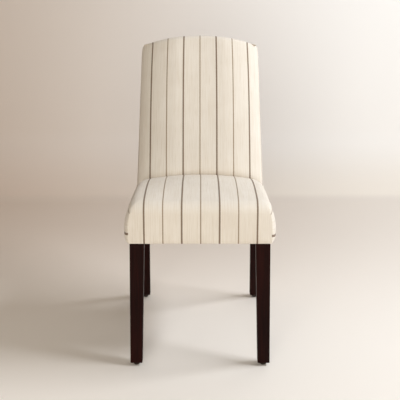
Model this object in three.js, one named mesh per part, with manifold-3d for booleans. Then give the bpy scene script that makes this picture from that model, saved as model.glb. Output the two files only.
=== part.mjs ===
// An upholstered side chair: tapered legs, a tenoned seat frame with corner blocks, raked back posts,
// woven webbing, foam, wadding and fitted fabric covers.
// Millimetres, +Z up, the front of the chair faces -Y. The origin is on the floor, under the middle of it.

import * as THREE from "three";
import { mergeVertices } from "three/addons/utils/BufferGeometryUtils.js";
import Module from "manifold-3d";

const wasm = await Module();
wasm.setup();
const { lerp, clamp, degToRad } = THREE.MathUtils;

// Driving sizes of the whole chair
const overallHeight = 940;
const overallDepth = 630;
const frameWidth = 417;
const undersideHeight = 397;
const backRake = degToRad(18.5);

// Fits shared by the whole chair
const clearance = 0.3;
const fabric = 1.5;
const overrun = 20;
const weldDistance = 0.001;

// Seat frame
const railHeight = 44;
const railThickness = 22;
const tenonThickness = 10;
const tenonLength = 15;
const tenonShoulder = 8;

// Front legs
const legTop = 43;
const legBottom = 36.5;
const legSplay = 4.5;
const legChamfer = 1.5;

// Rear legs and back posts, each one piece of wood
const postWidthAtSeat = 36;
const postWidthAtFoot = 33.5;
const postWidthAtCrest = 32;
const postDepthAtSeat = 34;
const postDepthAtFoot = 30;
const postDepthAtCrest = 18;
const rearFootSet = 111;
const bendRise = 12.2;

// Glides
const glideRadius = 9.5;
const glideHeight = 10;
const glideEdge = 2;
const glidePinRadius = 2.5;
const glidePinLength = 14;

// Seat upholstery
const frontPadding = 14;
const seatCrownRise = 138;
const seatRearRise = 101;
const seatCrownDrop = 5;
const crownSetback = 100;
const frontBulge = 19;
const rearBulge = 7.5;
const seatTaperPower = 1.8;
const crownRingShares = [0.3, 0.6, 0.85];
const crownRetreatShare = 0.8;
const deepestFallShare = 1.05;
const tuckHeight = 17;
const seatWall = 4;
const frontRoll = 36;
const seatSideRollWidth = 66;
const seatSideRollDepth = 78;
const seatCornerWidth = 26;
const seatCornerDepth = 44;
const tuckedCornerRadius = 3;
const seatWadding = 8;
const coverTurnIn = 24;

// Back upholstery
const backPadding = 44;
const backSidePadding = 4.5;
const backTaper = 16.5;
const archRise = 30;
const topRoll = 20;
const rearEdgeRadius = 8;
const backFlatShare = 0.375;
const backRollSpread = 4 / 3;
const fullnessAtSeat = 0.44;
const fullnessAtCrest = 1.05;
const shoulderRadius = 12;
const crestPadding = 12;
const crestSidePadding = 18;
const rearWadding = 5;
const seamInset = 6;
const backRingShares = [-0.1, 0, 0.2, 0.4, 0.6, 0.8, 0.95];
const backFlatSteps = 2;
const backRollSteps = 8;
const ridgeSteps = 8;

// Frame of the back
const crestRailHeight = 64;
const crestRailThickness = 16;
const lowerRailHeight = 38;
const creviceHeight = 8;

// Corner blocks and their screws
const blockWing = 50;
const blockNose = 12;
const blockHeight = 30;
const blockDrop = 7;
const blockSeat = 14;
const screwRadius = 2.1;
const screwHeadRadius = 4;
const screwHeadHeight = 2.6;
const screwBite = 15;
const screwTip = 5;

// Webbing, deck cloth and dust cover
const webbingWidth = 50;
const webbingThickness = 2;
const seatStrapCount = 4;
const backStrapCount = 3;
const backUprightCount = 2;
const backUprightSpacing = 130;
const strapEdge = 2;
const backStrapLanding = 24;
const clothThickness = 1;
const clothEdge = 6;
const dustCoverEdge = 10;
const legNotch = 4;
const waddingHem = 8;

// Places that follow from the sizes above
const halfFrame = frameWidth / 2;
const backHalfWidthAtSeat = halfFrame + backSidePadding;
const backHalfWidthAtCrest = backHalfWidthAtSeat - backTaper;
const seatFront = -overallDepth / 2;
const legFront = seatFront + frontPadding;
const frameBottom = undersideHeight + fabric + clearance;
const frameTop = frameBottom + railHeight;
const bendHeight = frameTop + bendRise;
const sinRake = Math.sin(backRake);
const cosRake = Math.cos(backRake);
const coverDepth = fabric + clearance;
const rearStack = clearance + rearWadding + coverDepth;
const backFace = -backPadding;
const crestV = topRoll + (overallHeight - bendHeight - topRoll + (backFace + topRoll) * sinRake) / cosRake;
const postFront =
  overallDepth / 2 -
  (crestV - seamInset) * sinRake -
  (postDepthAtCrest + rearStack + coverDepth) * cosRake;
const postRear = postFront + postDepthAtSeat;
const seatRear = postRear + rearStack;
const rearFootFront = postFront + rearFootSet;
const archRadius = (backHalfWidthAtCrest ** 2 + archRise ** 2) / (2 * archRise);
const strapRise = (webbingThickness + clearance) / 2;
const clothBottom = frameTop + clearance + webbingThickness + strapRise + clearance;
const foamBottom = clothBottom + clothThickness + clearance;
const frameCrown = coverDepth + crestPadding;
const lowerRailV =
  (undersideHeight + seatRearRise + creviceHeight + crestRailThickness * sinRake - bendHeight) / cosRake;
const crestRailV = crestV - frameCrown - crestRailHeight;
const backFrame = new THREE.Matrix4().makeRotationX(-backRake).setPosition(0, postFront, bendHeight);

// Solids: joining, cutting and simple shapes

function solidFrom(geometry) {
  const bare = geometry.index ? geometry.toNonIndexed() : geometry.clone();
  bare.deleteAttribute("normal");
  bare.deleteAttribute("uv");
  const merged = mergeVertices(bare, weldDistance);
  const corners = merged.index.array;
  const kept = [];
  for (let i = 0; i < corners.length; i += 3) {
    const [a, b, c] = [corners[i], corners[i + 1], corners[i + 2]];
    if (a !== b && b !== c && c !== a) kept.push(a, b, c);
  }
  return new wasm.Manifold(
    new wasm.Mesh({
      numProp: 3,
      vertProperties: merged.attributes.position.array,
      triVerts: Uint32Array.from(kept),
    }),
  );
}

function geometryFrom(solid) {
  const mesh = solid.getMesh();
  const geometry = new THREE.BufferGeometry();
  geometry.setAttribute("position", new THREE.BufferAttribute(mesh.vertProperties, mesh.numProp));
  geometry.setIndex(new THREE.BufferAttribute(mesh.triVerts, 1));
  geometry.computeVertexNormals();
  return geometry;
}

function cut(solid, ...tools) {
  return tools.reduce((rest, tool) => rest.subtract(tool), solid);
}

// A cut can leave crumbs beside the piece; only its main body is kept.
function mainBody(solid) {
  return solid.decompose().reduce((best, body) => (body.volume() > best.volume() ? body : best));
}

function mirrored(geometry) {
  const flipped = geometry.clone().applyMatrix4(new THREE.Matrix4().makeScale(-1, 1, 1));
  const bare = flipped.index ? flipped.toNonIndexed() : flipped;
  const positions = bare.attributes.position.array;
  for (let i = 0; i < positions.length; i += 9) {
    for (let axis = 0; axis < 3; axis += 1) {
      [positions[i + 3 + axis], positions[i + 6 + axis]] = [positions[i + 6 + axis], positions[i + 3 + axis]];
    }
  }
  return bare;
}

function block(x, y, z) {
  return new THREE.BoxGeometry(x[1] - x[0], y[1] - y[0], z[1] - z[0]).translate(
    (x[0] + x[1]) / 2,
    (y[0] + y[1]) / 2,
    (z[0] + z[1]) / 2,
  );
}

// A prism along one axis. The outline gives (y, z) along x, (x, z) along y and (x, y) along z.
function prism(outline, axis, from, to) {
  const shape = new THREE.Shape(outline.map(([a, b]) => new THREE.Vector2(a, b)));
  const geometry = new THREE.ExtrudeGeometry(shape, { depth: to - from, bevelEnabled: false });
  const x = new THREE.Vector3(1, 0, 0);
  const y = new THREE.Vector3(0, 1, 0);
  const z = new THREE.Vector3(0, 0, 1);
  const turned = new THREE.Matrix4();
  if (axis === "x") turned.makeBasis(y, z, x).setPosition(from, 0, 0);
  if (axis === "y") turned.makeBasis(x, z, y.negate()).setPosition(0, to, 0);
  if (axis === "z") turned.setPosition(0, 0, from);
  return geometry.applyMatrix4(turned);
}

// A closed skin over a stack of mirrored outlines, bottom to top. Each outline gives the right half only,
// from its front point on the middle plane to its rear one. A ridge closes on itself and needs no lid.
function mirroredLoft(halves, endsInRidge) {
  const last = halves[0].length - 1;
  const ringSize = 2 * last;
  const positions = [];
  const index = [];
  for (const half of halves) {
    for (const point of half) positions.push(point.x, point.y, point.z);
    for (let i = last - 1; i > 0; i -= 1) positions.push(-half[i].x, half[i].y, half[i].z);
  }
  for (let level = 0; level + 1 < halves.length; level += 1) {
    for (let i = 0; i < ringSize; i += 1) {
      const a = level * ringSize + i;
      const b = level * ringSize + ((i + 1) % ringSize);
      index.push(a, b, b + ringSize, a, b + ringSize, a + ringSize);
    }
  }
  const addLid = (level, facingUp) => {
    const right = (i) => level * ringSize + i;
    const left = (i) => level * ringSize + (i === 0 ? 0 : ringSize - i);
    const addFace = (a, b, c) => index.push(...(facingUp ? [a, b, c] : [a, c, b]));
    for (let i = 0; i < last; i += 1) {
      if (i > 0) addFace(right(i), right(i + 1), left(i));
      if (i + 1 < last) addFace(left(i), right(i + 1), left(i + 1));
    }
  };
  addLid(0, false);
  if (!endsInRidge) addLid(halves.length - 1, true);
  const geometry = new THREE.BufferGeometry();
  geometry.setAttribute("position", new THREE.Float32BufferAttribute(positions, 3));
  geometry.setIndex(index);
  return geometry;
}

function steps(count, from = 0, to = 1) {
  return Array.from({ length: count + 1 }, (_, i) => from + ((to - from) * i) / count);
}

// Legs and posts

function postOuter(v) {
  return lerp(halfFrame, backHalfWidthAtCrest - crestSidePadding, Math.max(0, v) / crestV);
}

function postInner(v) {
  return postOuter(v) - lerp(postWidthAtSeat, postWidthAtCrest, Math.max(0, v) / crestV);
}

function postDepth(v) {
  return lerp(postDepthAtSeat, postDepthAtCrest, v / crestV);
}

// Point of the raked back: v runs up along the post, w runs backwards from its front face.
function backPoint(v, w) {
  return [postFront + v * sinRake + w * cosRake, bendHeight + v * cosRake - w * sinRake];
}

// A closed skin over a stack of level outlines with as many points each, bottom to top.
function loft(rings) {
  const size = rings[0].length;
  const positions = rings.flat().flat();
  const index = [];
  for (let level = 0; level + 1 < rings.length; level += 1) {
    for (let i = 0; i < size; i += 1) {
      const a = level * size + i;
      const b = level * size + ((i + 1) % size);
      index.push(a, b, b + size, a, b + size, a + size);
    }
  }
  const lid = (rings.length - 1) * size;
  for (let i = 1; i + 1 < size; i += 1) index.push(0, i + 1, i, lid, lid + i, lid + i + 1);
  const geometry = new THREE.BufferGeometry();
  geometry.setAttribute("position", new THREE.Float32BufferAttribute(positions, 3));
  geometry.setIndex(index);
  return geometry;
}

// One section of a leg with eased edges. Front and rear are its (y, z) places in the side view.
function legSection({ front, rear, inner, outer }, grow) {
  const ease = grow > 0 ? 0 : legChamfer;
  const depth = rear[0] - front[0];
  const at = (x, share) => [x, lerp(front[0] - grow, rear[0] + grow, share), lerp(front[1], rear[1], share)];
  const [near, far] = [inner - grow, outer + grow];
  const eased = ease / depth;
  return [
    at(near + ease, 0),
    at(far - ease, 0),
    at(far, eased),
    at(far, 1 - eased),
    at(far - ease, 1),
    at(near + ease, 1),
    at(near, 1 - eased),
    at(near, eased),
  ];
}

function levelSection(z, front, depth, outer, width) {
  return { front: [front, z], rear: [front + depth, z], inner: outer - width, outer };
}

function frontLegBody(grow = 0) {
  const sections = [
    levelSection(glideHeight, legFront, legBottom, halfFrame + legSplay, legBottom),
    levelSection(undersideHeight, legFront, legTop, halfFrame, legTop),
    levelSection(frameTop, legFront, legTop, halfFrame, legTop),
  ];
  return loft(sections.map((section) => legSection(section, grow)));
}

function postBody(grow = 0) {
  const bendDrop = postDepthAtSeat * Math.tan(backRake / 2);
  const sections = [
    levelSection(glideHeight, rearFootFront, postDepthAtFoot, halfFrame + legSplay, postWidthAtFoot),
    levelSection(undersideHeight, postFront, postDepthAtSeat, halfFrame, postWidthAtSeat),
    {
      front: [postFront, bendHeight],
      rear: [postRear, bendHeight - bendDrop],
      inner: halfFrame - postWidthAtSeat,
      outer: halfFrame,
    },
    {
      front: backPoint(crestV, 0),
      rear: backPoint(crestV, postDepthAtCrest),
      inner: postInner(crestV),
      outer: postOuter(crestV),
    },
  ];
  return loft(sections.map((section) => legSection(section, grow)));
}

function glide(grow = 0) {
  const top = glideHeight - clearance;
  const profile = [
    [0, 0],
    [glideRadius - glideEdge, 0],
    [glideRadius, glideEdge],
    [glideRadius, top],
    [glidePinRadius + grow, top],
    [glidePinRadius + grow, glideHeight + glidePinLength + grow],
    [0, glideHeight + glidePinLength + grow],
  ];
  const geometry = new THREE.LatheGeometry(
    profile.map(([r, h]) => new THREE.Vector2(r, h)),
    16,
  );
  return geometry.rotateX(Math.PI / 2);
}

const footOuter = halfFrame + legSplay;
const frontGlidePlace = [footOuter - legBottom / 2, legFront + legBottom / 2];
const rearGlidePlace = [footOuter - postWidthAtFoot / 2, rearFootFront + postDepthAtFoot / 2];

// Seat upholstery: one form whose skin gives the cover, the wadding and the foam

function seatHalfWidth(y) {
  const share = clamp((seatRear - y) / (seatRear - seatFront), 0, 1);
  return halfFrame + lerp(rearBulge, frontBulge, share ** seatTaperPower);
}

function seatTop(y) {
  const start = seatFront + crownSetback;
  const fall = clamp((y - start) / (postFront - backPadding - start), 0, deepestFallShare);
  return undersideHeight + seatCrownRise - (seatCrownRise - seatRearRise) * fall ** 2;
}

// The right half of one level's outline seen from above, each point with its share of the side's roll.
function seatOutline(front, halfWidthAt, corner, rear) {
  const points = [];
  const cornerY = front + corner.depth;
  const cornerX = halfWidthAt(cornerY) - corner.width;
  for (const share of steps(4)) points.push({ x: cornerX * share, y: front, side: 0 });
  for (const share of steps(5).slice(1)) {
    const turn = (share * Math.PI) / 2;
    points.push({
      x: cornerX + corner.width * Math.sin(turn),
      y: cornerY - corner.depth * Math.cos(turn),
      side: Math.sin(turn) ** 2,
    });
  }
  for (const share of steps(8).slice(1)) {
    const y = lerp(cornerY, rear, share);
    points.push({ x: halfWidthAt(y), y, side: 1 });
  }
  for (const share of steps(3).slice(1)) {
    points.push({ x: halfWidthAt(rear) * (1 - share), y: rear, side: 1 });
  }
  return points;
}

// The seat's outer form, drawn in by a skin: tucked under the frame, bulged, rolled over and crowned.
function seatForm(skin) {
  const rear = seatRear - skin;
  const tuckedFront = legFront - coverDepth - clearance + skin;
  const tuckedSide = halfFrame + coverDepth + clearance - skin;
  const halves = [];
  const cornerAt = (share) => ({
    width: Math.max(lerp(tuckedCornerRadius, seatCornerWidth, share) - skin, clearance),
    depth: Math.max(lerp(tuckedCornerRadius, seatCornerDepth, share) - skin, clearance),
  });
  for (const share of steps(3)) {
    const turn = (share * Math.PI) / 2;
    const bulged = Math.sin(turn);
    const front = lerp(tuckedFront, seatFront + skin, bulged);
    const halfWidthAt = (y) => lerp(tuckedSide, seatHalfWidth(y) - skin, bulged);
    const z = undersideHeight + skin + (tuckHeight - skin) * (1 - Math.cos(turn));
    const outline = seatOutline(front, halfWidthAt, cornerAt(bulged), rear);
    halves.push(outline.map(({ x, y }) => new THREE.Vector3(x, y, z)));
  }
  const edgeOutline = (turn) => {
    const inset = 1 - Math.cos(turn);
    const front = seatFront + skin + (frontRoll - skin) * inset;
    const halfWidthAt = (y) => seatHalfWidth(y) - skin - (seatSideRollWidth - skin) * inset;
    return seatOutline(front, halfWidthAt, cornerAt(1), rear);
  };
  for (const share of steps(5)) {
    const turn = (share * Math.PI) / 2;
    halves.push(
      edgeOutline(turn).map(({ x, y, side }) => {
        const space = seatTop(y) - seatCrownDrop - undersideHeight - tuckHeight - seatWall;
        const roll = lerp(frontRoll, Math.min(seatSideRollDepth, space), side) - skin;
        const z = seatTop(y) - skin - seatCrownDrop - roll * (1 - Math.sin(turn));
        return new THREE.Vector3(x, y, z);
      }),
    );
  }
  for (const share of crownRingShares) {
    halves.push(
      edgeOutline(Math.PI / 2).map((point) => {
        const y = rear - (rear - point.y) * (1 - crownRetreatShare * share);
        const z = seatTop(y) - skin - seatCrownDrop * (1 - share) ** 2;
        return new THREE.Vector3(point.x * (1 - share), y, z);
      }),
    );
  }
  return solidFrom(mirroredLoft(halves, false));
}

// Back upholstery: one form, modelled upright with x across, y backwards and z along the post

function backHalfWidth(v) {
  return lerp(backHalfWidthAtSeat, backHalfWidthAtCrest, v / crestV);
}

function archDrop(x) {
  return archRadius - Math.sqrt(archRadius ** 2 - x ** 2);
}

// The right half of one level's outline of the back, seen along the post: a flat middle that rolls off
// broadly to the side, and a small rear edge. The fuller the roll, the squarer it is.
function backOutline(halfWidth, front, rear, rearRadius, fullness) {
  const flatX = halfWidth * backFlatShare;
  const depth = rear - rearRadius - front;
  const points = steps(backFlatSteps).map((share) => [flatX * share, front]);
  for (const share of steps(backRollSteps).slice(1)) {
    const turn = (share * Math.PI) / 2;
    const x = flatX + (halfWidth - flatX) * Math.sin(turn) ** backRollSpread;
    points.push([x, front + depth * (1 - Math.max(Math.cos(turn), 0) ** fullness)]);
  }
  for (const share of steps(2).slice(1)) {
    const turn = (share * Math.PI) / 2;
    const x = halfWidth - rearRadius * (1 - Math.cos(turn));
    points.push([x, rear - rearRadius * (1 - Math.sin(turn))]);
  }
  const rearXs = points.slice(0, ridgeSteps + 1).map(([x]) => x);
  for (const x of rearXs.reverse()) points.push([x, rear]);
  return points;
}

function backForm(skin) {
  const halves = [];
  const shoulderV = crestV - archRise - topRoll;
  const rearAt = (v) => postDepth(v) + rearStack - skin;
  const fullnessAt = (v) => lerp(fullnessAtSeat, fullnessAtCrest, Math.max(0, v) / crestV);
  for (const share of backRingShares) {
    const v = shoulderV * share;
    const outline = backOutline(
      backHalfWidth(v) - skin,
      skin - backPadding,
      rearAt(v),
      rearEdgeRadius - skin,
      fullnessAt(v),
    );
    halves.push(outline.map(([x, w]) => new THREE.Vector3(x, w, v)));
  }
  for (const share of steps(4)) {
    const turn = (share * Math.PI) / 2;
    const inset = 1 - Math.cos(turn);
    const front = skin - backPadding + (topRoll - skin) * inset;
    const rear = rearAt(crestV) - (rearEdgeRadius - skin) * inset;
    const halfWidth = backHalfWidth(crestV) - skin - (shoulderRadius - skin) * inset;
    const outline = backOutline(halfWidth, front, rear, rearEdgeRadius - skin, fullnessAtCrest);
    halves.push(
      outline.map(([x, w]) => {
        const depthShare = clamp((w - front) / (rear - front), 0, 1);
        const roll = lerp(topRoll, rearEdgeRadius, depthShare) - skin;
        const v = crestV - skin - archDrop(x) - roll * (1 - Math.sin(turn));
        return new THREE.Vector3(x, w + (rearAt(v) - rearAt(crestV)) * depthShare, v);
      }),
    );
  }
  halves.push(ridgeOf(halves.at(-1)));
  return solidFrom(mirroredLoft(halves, true).applyMatrix4(backFrame));
}

// The line in which front and rear meet on top: the corner's points gather at its end.
function ridgeOf(half) {
  const middle = (half[0].y + half.at(-1).y) / 2;
  return half.map((point, i) => {
    const onEdge = Math.min(i, half.length - 1 - i, ridgeSteps);
    return new THREE.Vector3(half[onEdge].x, middle, half[onEdge].z);
  });
}

// Everything under the arched top, down to below the seat, between two straight sides.
function archedPrism(sideAt, topInset, lowV, from, to) {
  const sideV = crestV - archRise - topInset;
  const half = [
    [sideAt(lowV), lowV],
    [sideAt(sideV), sideV],
  ];
  for (const share of steps(8).slice(0, -1)) {
    const x = Math.min(sideAt(sideV), backHalfWidthAtCrest) * (1 - share);
    half.push([x, crestV - topInset - archDrop(x)]);
  }
  const top = [0, crestV - topInset];
  const otherHalf = half.map(([x, v]) => [-x, v]).reverse();
  return solidFrom(prism([...half, top, ...otherHalf], "y", from, to).applyMatrix4(backFrame));
}

// Side view of the frame's rear face, moved back by a distance: straight down the seat frame, raked above.
function rearPath(offset, lowZ) {
  const slope = (postDepthAtSeat - postDepthAtCrest) / crestV;
  const bendV = ((postDepthAtSeat + offset) * (1 - cosRake)) / (sinRake - slope * cosRake);
  const topV = crestV + overrun;
  return [
    [postRear + offset, lowZ],
    backPoint(bendV, postDepth(bendV) + offset),
    backPoint(topV, postDepth(topV) + offset),
  ];
}

// A sheet that follows the frame's rear face between two distances from it.
function rearSheet(near, far, lowZ) {
  const outline = [...rearPath(far, lowZ), ...rearPath(near, lowZ).reverse()];
  return solidFrom(prism(outline, "x", -overallDepth, overallDepth));
}

// Frame rails: each is a board with a tenon at both ends

function tenoned(board, tenon, grow = 0) {
  const wider = ([from, to]) => [from - grow, to + grow];
  const body = solidFrom(block(...board));
  return body.add(solidFrom(block(...tenon.map(wider))));
}

function centred(middle, size) {
  return [middle - size / 2, middle + size / 2];
}

const tenonZ = [frameBottom + tenonShoulder, frameTop - tenonShoulder];
const frontRailY = [legFront, legFront + railThickness];
const rearRailY = [postRear - railThickness, postRear];
const sideRailX = [halfFrame - railThickness, halfFrame];
const sideRailY = [legFront + legTop + clearance, postFront - clearance];
const legInner = halfFrame - legTop;
const postInnerAtSeat = halfFrame - postWidthAtSeat;

// The tenons as boxes, shared by the rails and by the mortises that take them.
const frontTenon = [
  centred(0, 2 * (legInner + tenonLength)),
  centred(legFront + railThickness / 2, tenonThickness),
  tenonZ,
];
const rearTenon = [
  centred(0, 2 * (postInnerAtSeat + tenonLength)),
  centred(postRear - railThickness / 2, tenonThickness),
  tenonZ,
];
const sideTenon = [
  centred(halfFrame - railThickness / 2, tenonThickness),
  [legFront + legTop - tenonLength, postFront + tenonLength],
  tenonZ,
];
const backTenonW = centred(crestRailThickness / 2, tenonThickness);
const lowerTenonV = [lowerRailV + tenonShoulder, lowerRailV + lowerRailHeight - tenonShoulder];
const crestTenonV = [crestRailV + tenonShoulder, crestRailV + crestRailHeight - archRise - tenonShoulder];

function backTenon(range, grow) {
  const reach = postInner((range[0] + range[1]) / 2) + tenonLength + grow;
  const depth = [backTenonW[0] - grow, backTenonW[1] + grow];
  const height = [range[0] - grow, range[1] + grow];
  return solidFrom(block([-reach, reach], depth, height).applyMatrix4(backFrame));
}

function mortise(tenon) {
  return solidFrom(block(...tenon.map(([from, to]) => [from - clearance, to + clearance])));
}

function backRail(bottomV, topV) {
  const outline = [
    [postInner(bottomV) - clearance, bottomV],
    [postInner(topV) - clearance, topV],
    [clearance - postInner(topV), topV],
    [clearance - postInner(bottomV), bottomV],
  ];
  return solidFrom(prism(outline, "y", 0, crestRailThickness).applyMatrix4(backFrame));
}

// Screws: pan heads against the seat of a counterbore, threads bitten into the rail

function screwAt(from, towards, grow = 0) {
  const radius = screwRadius + grow;
  const head = grow > 0 ? blockWing : screwHeadHeight;
  const profile = [
    [0, -blockSeat - screwBite - grow],
    [radius / 2, -blockSeat - screwBite - grow],
    [radius, -blockSeat - screwBite + screwTip],
    [radius, 0],
    [screwHeadRadius + grow, 0],
    [screwHeadRadius + grow, head],
    [0, head],
  ];
  const geometry = new THREE.LatheGeometry(
    profile.map(([r, h]) => new THREE.Vector2(r, h)),
    12,
  );
  const turn = new THREE.Quaternion().setFromUnitVectors(new THREE.Vector3(0, -1, 0), towards);
  return geometry.applyQuaternion(turn).translate(from.x, from.y, from.z);
}

// A corner block between a cross rail and the right side rail. It is notched round the leg's inner corner,
// and `inward` is the direction along y from the cross rail into the seat.
function cornerBlock(legX, legY, crossRailFace, inward) {
  const sideFace = sideRailX[0] - clearance;
  const crossFace = crossRailFace + inward * clearance;
  const notchX = legX - clearance;
  const notchY = legY + inward * clearance;
  const outline = [
    [notchX - blockWing, crossFace],
    [notchX, crossFace],
    [notchX, notchY],
    [sideFace, notchY],
    [sideFace, notchY + inward * blockWing],
    [sideFace - blockNose, notchY + inward * blockWing],
    [notchX - blockWing, crossFace + inward * blockNose],
  ];
  const top = frameTop - blockDrop;
  const body = solidFrom(prism(outline, "z", top - blockHeight, top));
  const z = top - blockHeight / 2;
  const places = [
    {
      from: new THREE.Vector3(notchX - blockWing / 2, crossFace + inward * blockSeat, z),
      towards: new THREE.Vector3(0, -inward, 0),
    },
    {
      from: new THREE.Vector3(sideFace - blockSeat, notchY + (inward * blockWing) / 2, z),
      towards: new THREE.Vector3(1, 0, 0),
    },
  ];
  const holes = places.map(({ from, towards }) => solidFrom(screwAt(from, towards, clearance)));
  const screws = places.map(({ from, towards }) => {
    return screwAt(from.clone().addScaledVector(towards, -clearance), towards);
  });
  return { block: cut(body, ...holes), screws, holes };
}

// Webbing: each strap lies flat on the frame at its ends and goes over and under the straps it crosses

function strapPath(start, end, landing, crossings, overFirst) {
  const path = [
    [start, 0],
    [start + landing, 0],
  ];
  crossings.forEach((middle, i) => {
    const height = (i % 2 === 0) === overFirst ? strapRise : -strapRise;
    for (const s of centred(middle, webbingWidth + 2 * clearance)) path.push([s, height]);
  });
  path.push([end - landing, 0], [end, 0]);
  return path;
}

function strapBand(path) {
  const lower = path.map(([s, h]) => [s, clearance + h]);
  const upper = path.map(([s, h]) => [s, clearance + h + webbingThickness]);
  return [...lower, ...upper.reverse()];
}

function spread(count, from, to) {
  return Array.from({ length: count }, (_, i) => lerp(from, to, (i + 0.5) / count));
}

const longStrapX = spread(seatStrapCount, -sideRailX[0], sideRailX[0]);
const crossStrapY = spread(seatStrapCount, legFront + legTop, postFront);
const seatLanding = railThickness - strapEdge;
const backStrapV = spread(backStrapCount, lowerRailV + lowerRailHeight, crestRailV);
const backUprightX = spread(backUprightCount, -backUprightSpacing, backUprightSpacing);

function longSeatStrap(i) {
  const path = strapPath(
    legFront + strapEdge,
    postRear - strapEdge,
    seatLanding,
    crossStrapY,
    i % 2 === 0,
  );
  const outline = strapBand(path).map(([y, h]) => [y, frameTop + h]);
  return prism(outline, "x", ...centred(longStrapX[i], webbingWidth));
}

function crossSeatStrap(i) {
  const path = strapPath(strapEdge - halfFrame, halfFrame - strapEdge, seatLanding, longStrapX, i % 2 !== 0);
  const outline = strapBand(path).map(([x, h]) => [x, frameTop + h]);
  return prism(outline, "y", ...centred(crossStrapY[i], webbingWidth));
}

function crossBackStrap(i) {
  const reach = postInner(backStrapV[i]) + backStrapLanding;
  const path = strapPath(-reach, reach, backStrapLanding - strapEdge, backUprightX, i % 2 === 0);
  const outline = strapBand(path).map(([x, h]) => [x, -h]);
  return prism(outline, "z", ...centred(backStrapV[i], webbingWidth)).applyMatrix4(backFrame);
}

function uprightBackStrap(i) {
  const landing = lowerRailHeight - 2 * strapEdge;
  const path = strapPath(
    lowerRailV + 2 * strapEdge,
    crestRailV + landing,
    landing,
    backStrapV,
    i % 2 !== 0,
  );
  const outline = strapBand(path).map(([v, h]) => [-h, v]);
  return prism(outline, "x", ...centred(backUprightX[i], webbingWidth)).applyMatrix4(backFrame);
}

// Materials
const finish = (color, roughness) => new THREE.MeshStandardMaterial({ color, roughness, metalness: 0 });
const materials = {
  espressoWood: () => finish(0x24100f, 0.35),
  frameWood: () => finish(0xb99a6b, 0.7),
  steel: () => new THREE.MeshStandardMaterial({ color: 0xa8a8a4, roughness: 0.35, metalness: 1 }),
  glidePlastic: () => finish(0x3b2c24, 0.5),
  webbing: () => finish(0x9a8059, 0.9),
  cloth: () => finish(0x1d1d1f, 0.95),
  foam: () => finish(0xe9dfb8, 0.9),
  wadding: () => finish(0xf3f1ea, 0.95),
  striped: () => finish(0xe8dcc6, 0.85),
};

const chair = new THREE.Group();

function addPiece(name, geometry, material) {
  const mesh = new THREE.Mesh(geometry, material);
  mesh.name = name;
  chair.add(mesh);
}

function addSolid(name, solid, material) {
  addPiece(name, geometryFrom(mainBody(solid)), material);
}

// A right-hand piece and its mirror image.
function addPair(name, solid, material) {
  const geometry = geometryFrom(mainBody(solid));
  addPiece(`${name}_right`, geometry, material());
  addPiece(`${name}_left`, mirrored(geometry), material());
}

// Wooden frame and legs
const frontBlock = cornerBlock(legInner, legFront + legTop, frontRailY[1], 1);
const rearBlock = cornerBlock(postInnerAtSeat, postFront, rearRailY[0], -1);
const bothSides = (geometry) => [solidFrom(geometry), solidFrom(mirrored(geometry))];
const glideHole = (place) => solidFrom(glide(clearance).translate(place[0], place[1], 0));

const frontLeg = cut(
  solidFrom(frontLegBody()),
  mortise(frontTenon),
  mortise(sideTenon),
  glideHole(frontGlidePlace),
);
addPair("front_leg", frontLeg, materials.espressoWood);

const underCrown = archedPrism(() => frameWidth, frameCrown, -overallHeight, -overallDepth, overallDepth);
const post = cut(
  solidFrom(postBody()).intersect(underCrown),
  mortise(rearTenon),
  mortise(sideTenon),
  backTenon(lowerTenonV, clearance),
  backTenon(crestTenonV, clearance),
  glideHole(rearGlidePlace),
);
addPair("rear_leg_and_post", post, materials.espressoWood);

const shortened = (range) => [range[0] + clearance, range[1] - clearance];
const frontBoard = [centred(0, 2 * (legInner - clearance)), frontRailY, [frameBottom, frameTop]];
const rearBoard = [centred(0, 2 * (postInnerAtSeat - clearance)), rearRailY, [frameBottom, frameTop]];
const sideBoard = [sideRailX, sideRailY, [frameBottom, frameTop]];
const frontHoles = [frontBlock.holes[0], solidFrom(mirrored(geometryFrom(frontBlock.holes[0])))];
const rearHoles = [rearBlock.holes[0], solidFrom(mirrored(geometryFrom(rearBlock.holes[0])))];
const frontRail = tenoned(frontBoard, [shortened(frontTenon[0]), frontTenon[1], frontTenon[2]]);
const rearRail = tenoned(rearBoard, [shortened(rearTenon[0]), rearTenon[1], rearTenon[2]]);
const sideRail = tenoned(sideBoard, [sideTenon[0], shortened(sideTenon[1]), sideTenon[2]]);
addSolid("front_rail", cut(frontRail, ...frontHoles), materials.frameWood());
addSolid("rear_rail", cut(rearRail, ...rearHoles), materials.frameWood());
addPair("side_rail", cut(sideRail, frontBlock.holes[1], rearBlock.holes[1]), materials.frameWood);
const lowerRail = backRail(lowerRailV, lowerRailV + lowerRailHeight);
const crestRail = backRail(crestRailV, crestV).intersect(underCrown);
addSolid("lower_back_rail", lowerRail.add(backTenon(lowerTenonV, -clearance)), materials.frameWood());
addSolid("crest_rail", crestRail.add(backTenon(crestTenonV, -clearance)), materials.frameWood());

addPair("corner_block_front", frontBlock.block, materials.frameWood);
addPair("corner_block_rear", rearBlock.block, materials.frameWood);
const screwNames = ["cross_rail", "side_rail"];
screwNames.forEach((rail, i) => {
  addPair(`screw_front_${rail}`, solidFrom(frontBlock.screws[i]), materials.steel);
  addPair(`screw_rear_${rail}`, solidFrom(rearBlock.screws[i]), materials.steel);
});

const placedGlide = ([x, y]) => solidFrom(glide().translate(x, y, 0));
addPair("glide_front", placedGlide(frontGlidePlace), materials.glidePlastic);
addPair("glide_rear", placedGlide(rearGlidePlace), materials.glidePlastic);

// Webbing and cloths
function addStraps(name, places, strapAt) {
  places.forEach((_, i) => addPiece(`${name}_${i + 1}`, strapAt(i), materials.webbing()));
}

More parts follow.
